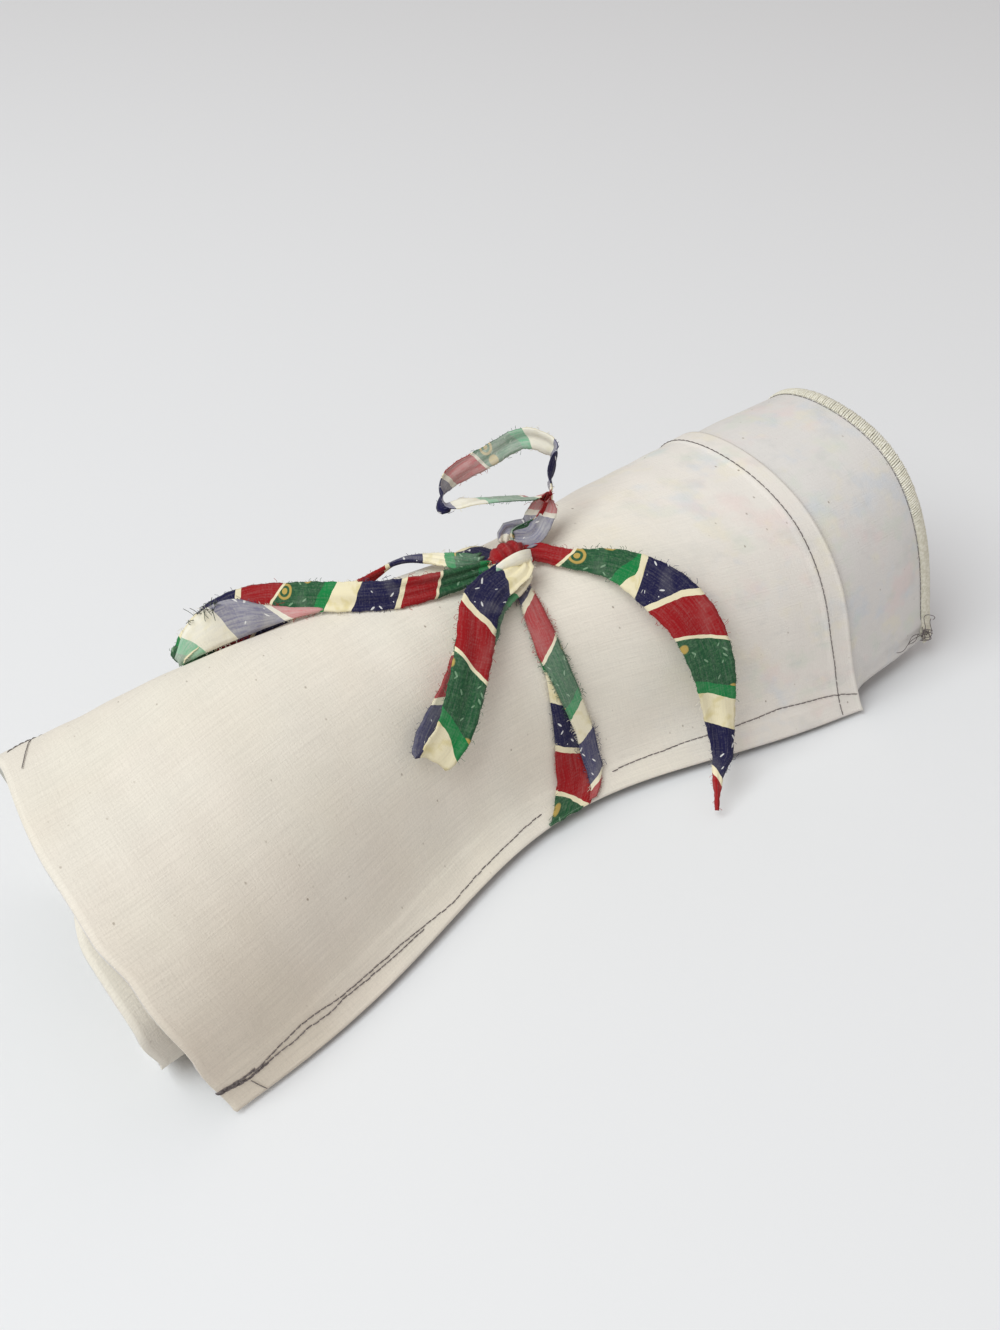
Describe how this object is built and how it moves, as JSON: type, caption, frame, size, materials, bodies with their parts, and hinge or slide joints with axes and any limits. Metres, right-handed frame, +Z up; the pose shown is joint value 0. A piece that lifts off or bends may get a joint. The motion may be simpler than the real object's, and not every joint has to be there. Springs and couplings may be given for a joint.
{
  "type": "knitting needle roll",
  "caption": "Soft calico roll case with inner needle pockets and an end flap, rolled loosely and tied round the waist with a striped cotton strip in a bow.",
  "frame": {"origin": "on the flat underside of the roll, below the middle of the outer panel's length", "axes": "+X along the roll towards the flap end, -Y towards the loose hem at the front, +Z up"},
  "size_m": [0.3672, 0.1374, 0.1259],
  "materials": {
    "calico": "matte plain weave",
    "lining_print": "matte plain weave with a faint print",
    "edge_thread": "matte thread",
    "striped_print": "matte printed cotton"
  },
  "bodies": {
    "roll": {"outer_panel": "calico", "lining_panel": "lining_print", "overlock_edge": "edge_thread", "pocket_panel": "calico", "tie_band": "striped_print", "tie_knot": "striped_print"},
    "left_loop": {"left_loop": "striped_print"},
    "upper_loop": {"upper_loop": "striped_print"},
    "front_loop": {"front_loop": "striped_print"},
    "right_tail": {"right_tail": "striped_print"}
  },
  "joints": [
    {"name": "left_loop_lift", "type": "hinge", "parent": "roll", "child": "left_loop", "pos_m": [0.0169, 0.0099, 0.0928], "axis": [0, 1, 0], "range_deg": [0, 60]},
    {"name": "upper_loop_lift", "type": "hinge", "parent": "roll", "child": "upper_loop", "pos_m": [0.0272, 0.0152, 0.0934], "axis": [1, 0, 0], "range_deg": [0, 35]},
    {"name": "front_loop_lift", "type": "hinge", "parent": "roll", "child": "front_loop", "pos_m": [0.0247, 0.0048, 0.0924], "axis": [-1, 0, 0], "range_deg": [0, 60]},
    {"name": "right_tail_lift", "type": "hinge", "parent": "roll", "child": "right_tail", "pos_m": [0.0325, 0.0099, 0.0888], "axis": [-1, 0, 0], "range_deg": [0, 50]}
  ]
}
